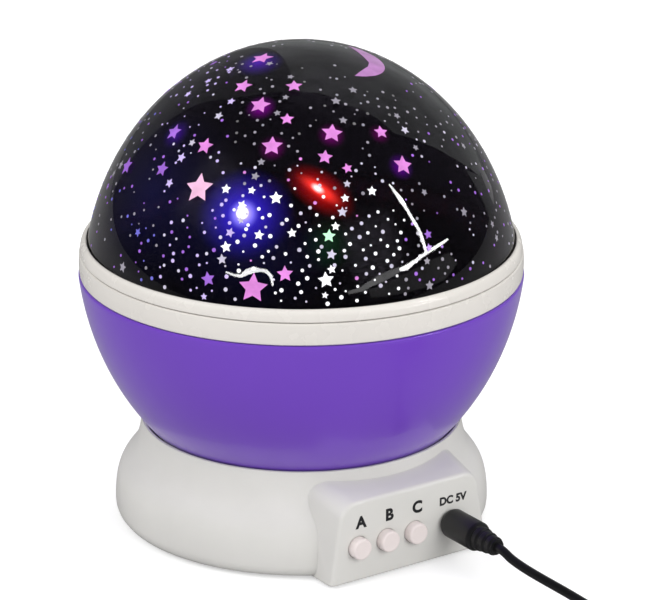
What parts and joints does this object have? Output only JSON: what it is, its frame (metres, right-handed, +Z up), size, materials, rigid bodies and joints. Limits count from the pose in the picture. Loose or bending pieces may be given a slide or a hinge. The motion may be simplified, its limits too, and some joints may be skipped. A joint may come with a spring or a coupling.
{
  "type": "star night light projector",
  "caption": "Ball-shaped night light with a dark starry dome over coloured LEDs, turning on a round base with push buttons, a plug-in lead and a battery bay.",
  "frame": {"origin": "on the floor plane under the feet, on the ball's axis", "axes": "+Z up along the ball's axis, -Y towards the control panel, +X to the right of the panel"},
  "size_m": [0.1223, 0.27, 0.1336],
  "materials": {
    "base_plastic": "satin",
    "ring_plastic": "gloss",
    "bowl_plastic": "satin",
    "dome_plastic": "gloss, dark see-through with printed stars",
    "button_plastic": "satin",
    "inner_plastic": "matt",
    "board_green": "satin solder mask",
    "board_white": "satin solder mask",
    "black_plastic": "satin",
    "black_rubber": "matt",
    "foot_rubber": "matt",
    "screw_steel": "bright",
    "brass_gear": "satin",
    "spring_nickel": "bright",
    "led_blue": "clear, lit",
    "led_red": "clear, lit",
    "led_green": "clear, lit",
    "led_white": "clear",
    "wire_blue": "satin"
  },
  "bodies": {
    "base": {"base_housing": "base_plastic", "bottom_cover": "base_plastic", "rubber_feet": "foot_rubber", "cover_screws": "screw_steel", "control_board": "board_green", "board_screws": "screw_steel", "switch_bodies": "black_plastic", "dc_jack": "black_plastic", "motor": "screw_steel", "motor_screws": "screw_steel", "gear_axles": "screw_steel", "wiring": "wire_blue", "battery_contacts": "spring_nickel", "door_pin": "screw_steel", "column": "inner_plastic", "column_nut": "inner_plastic", "column_ring": "screw_steel", "led_board": "board_white", "led_blue": "led_blue", "led_red": "led_red", "led_green": "led_green", "led_white": "led_white"},
    "ball": {"bowl": "bowl_plastic", "lower_ring": "ring_plastic", "reflector_deck": "inner_plastic", "hub_gear": "inner_plastic", "hub_screws": "screw_steel"},
    "dome": {"dome_shell": "dome_plastic", "upper_ring": "ring_plastic"},
    "button_a": {"button_a": "button_plastic"},
    "button_b": {"button_b": "button_plastic"},
    "button_c": {"button_c": "button_plastic"},
    "motor_rotor": {"motor_shaft": "screw_steel", "motor_pinion": "brass_gear"},
    "gear_1": {"gear_1": "inner_plastic"},
    "gear_2": {"gear_2": "inner_plastic"},
    "door": {"battery_door": "base_plastic", "door_screw": "screw_steel"},
    "lead": {"dc_plug_body": "black_rubber", "dc_plug_relief": "black_rubber", "dc_plug_barrel": "spring_nickel", "lead_cable": "black_rubber", "lead_coil": "black_rubber", "cord_tie": "black_rubber", "usb_plug_body": "black_rubber", "usb_plug_shell": "spring_nickel", "usb_plug_tongue": "inner_plastic"}
  },
  "joints": [
    {"name": "ball_spin", "type": "hinge", "parent": "base", "child": "ball", "pos_m": [0, 0, 0.0228], "axis": [0, 0, 1], "continuous": true},
    {"name": "gear_2_turn", "type": "hinge", "parent": "base", "child": "gear_2", "pos_m": [-0.01004, -0.01434, 0.02], "axis": [0, 0, 1], "continuous": true},
    {"name": "gear_1_turn", "type": "hinge", "parent": "base", "child": "gear_1", "pos_m": [0.0002, -0.0215, 0.0185], "axis": [0, 0, 1], "continuous": true},
    {"name": "motor_turn", "type": "hinge", "parent": "base", "child": "motor_rotor", "pos_m": [0.01195, -0.01723, 0.017], "axis": [0, 0, 1], "continuous": true},
    {"name": "dome_lift", "type": "slide", "parent": "ball", "child": "dome", "axis": [0, 0, 1], "range_m": [0, 0.06]},
    {"name": "button_a_press", "type": "slide", "parent": "base", "child": "button_a", "axis": [0, 1, 0], "range_m": [0, 0.0007], "stiffness_N_per_m": 1000, "springref_m": -0.0004},
    {"name": "button_b_press", "type": "slide", "parent": "base", "child": "button_b", "axis": [0, 1, 0], "range_m": [0, 0.0007], "stiffness_N_per_m": 1000, "springref_m": -0.0004},
    {"name": "button_c_press", "type": "slide", "parent": "base", "child": "button_c", "axis": [0, 1, 0], "range_m": [0, 0.0007], "stiffness_N_per_m": 1000, "springref_m": -0.0004},
    {"name": "door_swing", "type": "hinge", "parent": "base", "child": "door", "pos_m": [0, 0.00915, 0.00155], "axis": [-1, 0, 0], "range_deg": [0, 90]},
    {"name": "plug_pull", "type": "slide", "parent": "base", "child": "lead", "axis": [0, -1, 0], "range_m": [0, 0.012]}
  ],
  "couplings": [
    {"joint": "gear_2_turn", "follows": "ball_spin", "ratio": -6},
    {"joint": "gear_1_turn", "follows": "ball_spin", "ratio": 24},
    {"joint": "motor_turn", "follows": "ball_spin", "ratio": -96}
  ]
}
